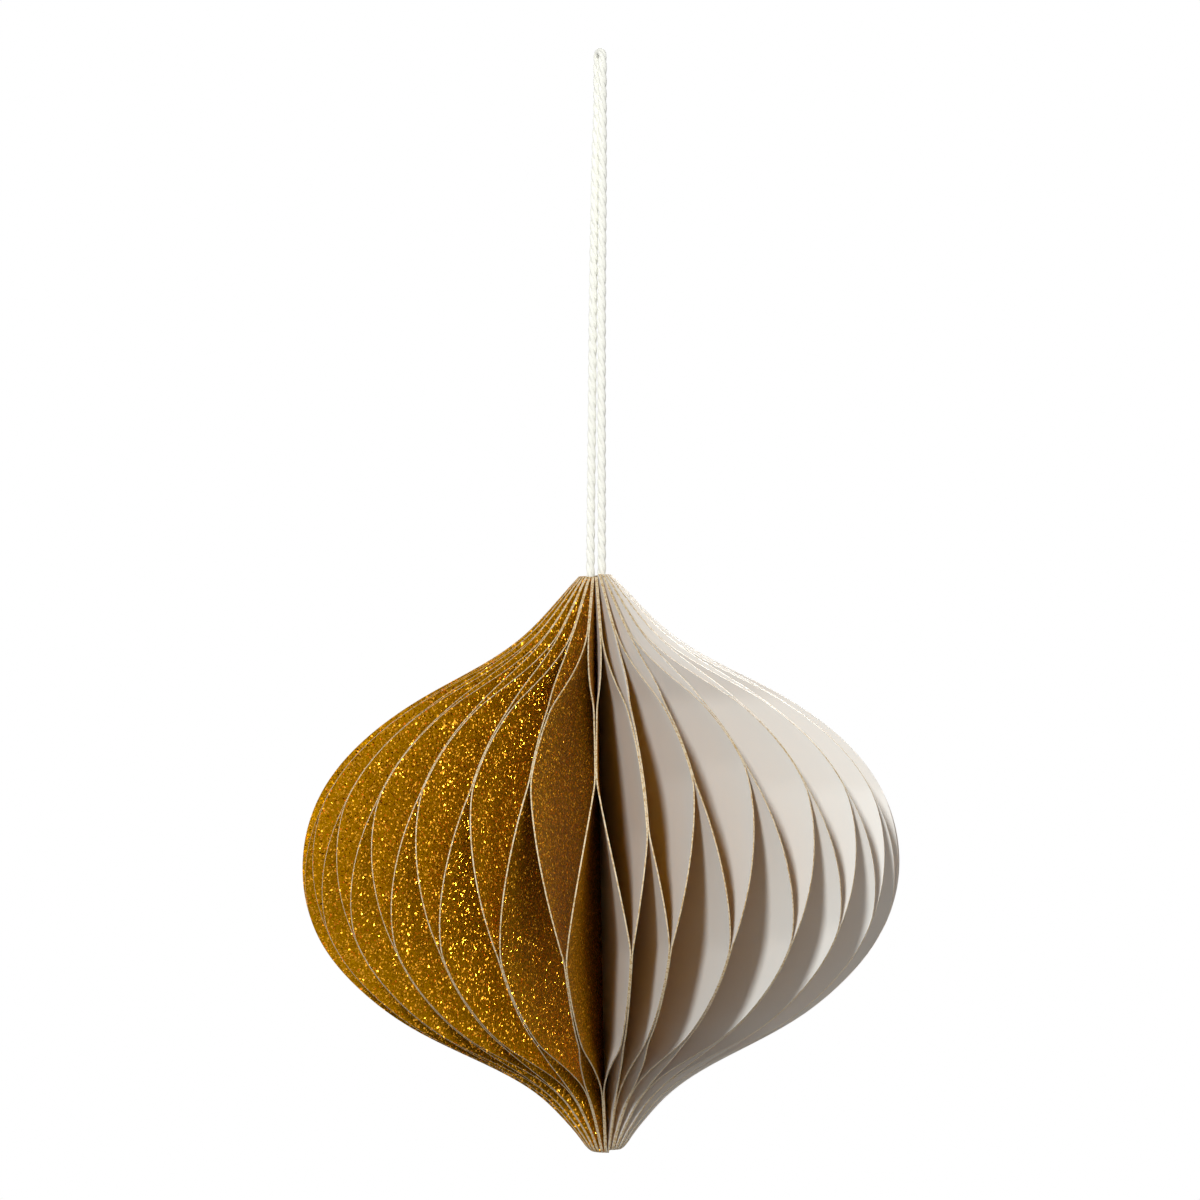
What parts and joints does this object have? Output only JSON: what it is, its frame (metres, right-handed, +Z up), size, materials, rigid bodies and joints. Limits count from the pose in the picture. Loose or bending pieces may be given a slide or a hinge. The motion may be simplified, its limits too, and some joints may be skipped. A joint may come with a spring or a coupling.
{
  "type": "hanging paper honeycomb ball ornament",
  "caption": "Onion-shaped honeycomb ball of glued card leaves, gold glitter on one side and white on the other, hung on a loop of twisted white cord.",
  "frame": {"origin": "inside of the top of the cord loop, the point that the ornament hangs from", "axes": "+Z up, against gravity as it hangs; -Y towards the front, where the ring of leaves was closed; +X to the right seen from the front, the side where the white faces show"},
  "size_m": [0.1, 0.0999, 0.1849],
  "materials": {
    "glitter_card": "gold glitter on one side, white coated card on the other, cream cut edges",
    "cord": "twisted off-white cotton"
  },
  "bodies": {
    "root": {"leaf_01": "glitter_card", "leaf_02": "glitter_card", "leaf_03": "glitter_card", "leaf_04": "glitter_card", "leaf_05": "glitter_card", "leaf_06": "glitter_card", "leaf_07": "glitter_card", "leaf_08": "glitter_card", "leaf_09": "glitter_card", "leaf_10": "glitter_card", "leaf_11": "glitter_card", "leaf_12": "glitter_card", "leaf_13": "glitter_card", "leaf_14": "glitter_card", "leaf_15": "glitter_card", "leaf_16": "glitter_card", "leaf_17": "glitter_card", "leaf_18": "glitter_card", "leaf_19": "glitter_card", "leaf_20": "glitter_card", "leaf_21": "glitter_card", "leaf_22": "glitter_card", "leaf_23": "glitter_card", "leaf_24": "glitter_card", "leaf_25": "glitter_card", "leaf_26": "glitter_card", "leaf_27": "glitter_card", "leaf_28": "glitter_card", "leaf_29": "glitter_card", "leaf_30": "glitter_card", "leaf_31": "glitter_card", "leaf_32": "glitter_card", "leaf_33": "glitter_card", "leaf_34": "glitter_card", "leaf_35": "glitter_card", "leaf_36": "glitter_card", "leaf_37": "glitter_card", "leaf_38": "glitter_card", "leaf_39": "glitter_card", "leaf_40": "glitter_card", "leaf_41": "glitter_card", "leaf_42": "glitter_card", "leaf_43": "glitter_card", "leaf_44": "glitter_card", "leaf_45": "glitter_card", "leaf_46": "glitter_card", "leaf_47": "glitter_card", "leaf_48": "glitter_card", "leaf_49": "glitter_card", "leaf_50": "glitter_card", "leaf_51": "glitter_card", "leaf_52": "glitter_card", "leaf_53": "glitter_card", "leaf_54": "glitter_card", "leaf_55": "glitter_card", "leaf_56": "glitter_card", "leaf_57": "glitter_card", "leaf_58": "glitter_card", "hanging_cord": "cord", "cord_knot": "cord"}
  },
  "joints": []
}
